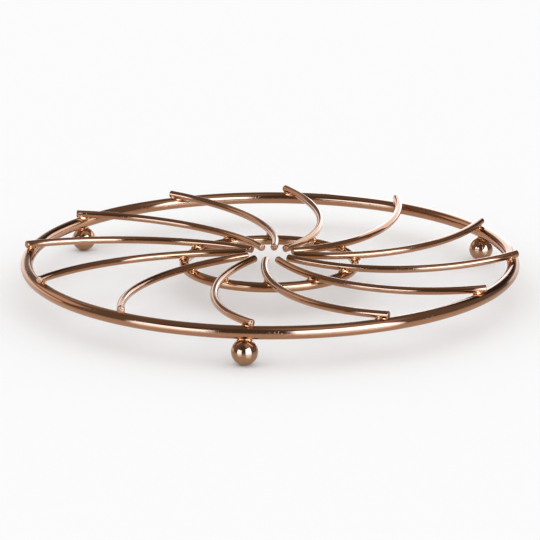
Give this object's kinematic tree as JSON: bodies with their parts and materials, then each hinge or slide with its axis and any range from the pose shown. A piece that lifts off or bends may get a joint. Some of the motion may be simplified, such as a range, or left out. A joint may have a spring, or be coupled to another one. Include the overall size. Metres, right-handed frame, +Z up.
{
  "type": "trivet",
  "caption": "Round wire trivet: a whirl of curved spokes welded over a rim ring and a smaller ring, dished to an open eye, on ball feet, in polished copper-coloured plate.",
  "frame": {"origin": "on the trivet's axis, on the surface that the ball feet stand on", "axes": "+Z up along the rings' axis; -Y towards the first spoke's rim crossing, close to the first foot"},
  "size_m": [0.2, 0.2025, 0.0179],
  "materials": {
    "plated_wire": "steel wire with polished copper-coloured plate",
    "plated_ball": "solid steel ball with polished copper-coloured plate",
    "plated_weld": "weld metal plated over with the wires, a little less smooth"
  },
  "bodies": {
    "root": {"rim_ring": "plated_wire", "inner_ring": "plated_wire", "spoke_1": "plated_wire", "spoke_2": "plated_wire", "spoke_3": "plated_wire", "spoke_4": "plated_wire", "spoke_5": "plated_wire", "spoke_6": "plated_wire", "spoke_7": "plated_wire", "spoke_8": "plated_wire", "spoke_9": "plated_wire", "spoke_10": "plated_wire", "spoke_11": "plated_wire", "spoke_12": "plated_wire", "foot_1": "plated_ball", "foot_2": "plated_ball", "foot_3": "plated_ball", "rim_welds": "plated_weld", "inner_welds": "plated_weld", "foot_welds": "plated_weld"}
  },
  "joints": []
}
